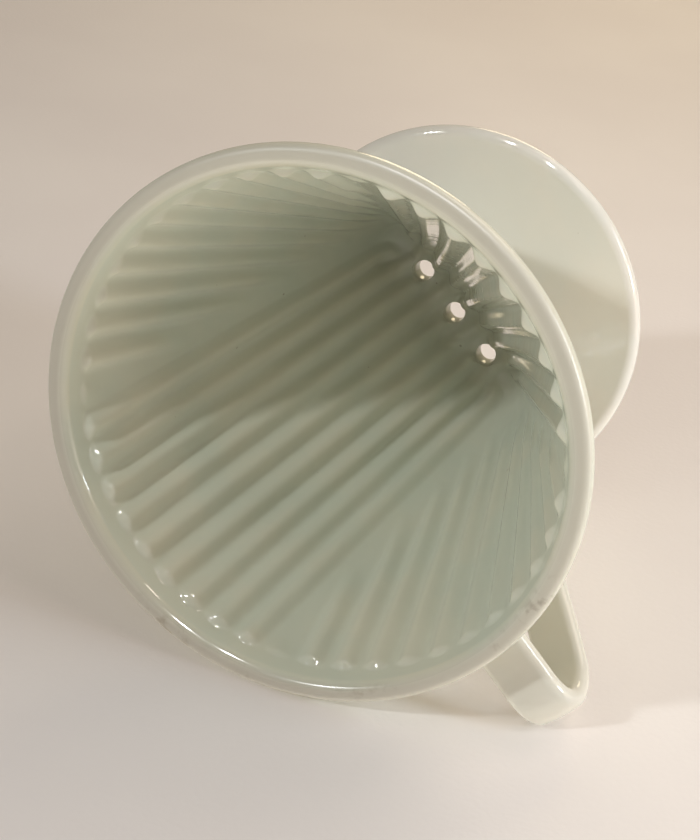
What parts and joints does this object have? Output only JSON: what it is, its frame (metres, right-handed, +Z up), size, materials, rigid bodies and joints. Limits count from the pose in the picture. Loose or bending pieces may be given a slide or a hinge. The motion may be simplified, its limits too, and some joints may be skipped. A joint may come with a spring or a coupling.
{
  "type": "pour over dripper",
  "caption": "Porcelain pour-over coffee dripper: ribbed cone with a slot floor and drip holes, dished saucer, locating collar and strap handle.",
  "frame": {"origin": "on the plane of the collar's foot, under the middle of the whole footprint, handle included; the cone's own axis is parallel to Z and passes through X = +0.011 m, Y = 0", "axes": "+Z up along the cone's axis, from the foot to the mouth; X along the slot and its row of holes, with the handle on the -X side; Y across the slot"},
  "size_m": [0.142, 0.12, 0.111],
  "materials": {
    "cone_glaze": "clear glossy glaze over warm white porcelain; the flat land on the rim is unglazed, matt and slightly stained",
    "saucer_glaze": "clear glossy glaze over warm white porcelain",
    "collar_glaze": "glossy glaze, with the ring that it stands on wiped bare before firing",
    "handle_glaze": "clear glossy glaze over warm white porcelain"
  },
  "bodies": {
    "root": {"filter_cone": "cone_glaze", "saucer": "saucer_glaze", "locating_collar": "collar_glaze", "handle": "handle_glaze"}
  },
  "joints": []
}
